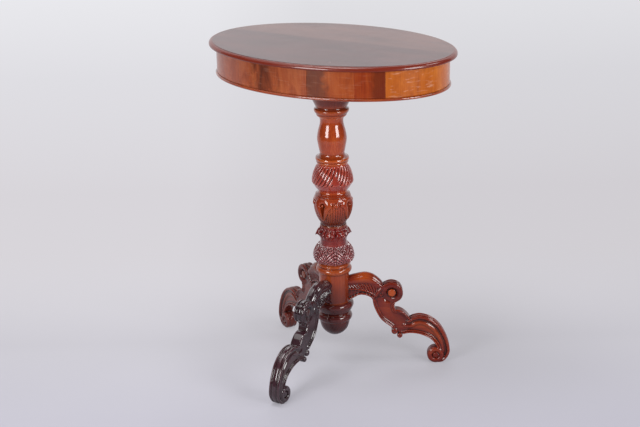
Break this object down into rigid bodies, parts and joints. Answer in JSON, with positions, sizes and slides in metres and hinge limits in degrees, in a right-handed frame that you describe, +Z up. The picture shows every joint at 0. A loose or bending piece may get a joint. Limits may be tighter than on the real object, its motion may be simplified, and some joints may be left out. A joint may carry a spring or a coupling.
{
  "type": "pedestal table",
  "caption": "Oval side table: moulded wooden top over a veneered frieze, carried by a turned and carved column on scroll-shaped tripod legs.",
  "frame": {"origin": "on the floor, on the column's axis", "axes": "+Z up, +X along the oval's long axis, -Y towards the front leg"},
  "size_m": [0.58, 0.4697, 0.76],
  "materials": {
    "top_wood": "french polished dark mahogany",
    "veneer": "french polished figured mahogany veneer",
    "bead_wood": "french polished mahogany",
    "column_wood": "french polished stained hardwood",
    "leg_wood": "french polished stained hardwood",
    "softwood": "bare aged softwood",
    "wedge_wood": "bare hardwood",
    "screw_steel": "dull iron wood screws"
  },
  "bodies": {
    "root": {"top_board_front": "top_wood", "top_board_back": "top_wood", "bearer": "softwood", "bearer_screws": "screw_steel", "glue_blocks": "softwood", "tenon_wedge": "wedge_wood", "frieze_core_right": "softwood", "frieze_core_back_right": "softwood", "frieze_core_back": "softwood", "frieze_core_back_left": "softwood", "frieze_core_left": "softwood", "frieze_core_front_left": "softwood", "frieze_core_front": "softwood", "frieze_core_front_right": "softwood", "frieze_veneer_1": "veneer", "frieze_veneer_2": "veneer", "frieze_veneer_3": "veneer", "frieze_veneer_4": "veneer", "frieze_veneer_5": "veneer", "frieze_veneer_6": "veneer", "frieze_veneer_7": "veneer", "frieze_veneer_8": "veneer", "frieze_veneer_9": "veneer", "frieze_bead_right": "bead_wood", "frieze_bead_back": "bead_wood", "frieze_bead_left": "bead_wood", "frieze_bead_front": "bead_wood", "capital": "column_wood", "baluster": "column_wood", "twist_bulb": "column_wood", "vase": "column_wood", "leaf_collar": "column_wood", "acanthus_bulb": "column_wood", "hub": "column_wood", "pendant": "column_wood", "leg_front": "leg_wood", "leg_right": "leg_wood", "leg_back": "leg_wood"}
  },
  "joints": []
}
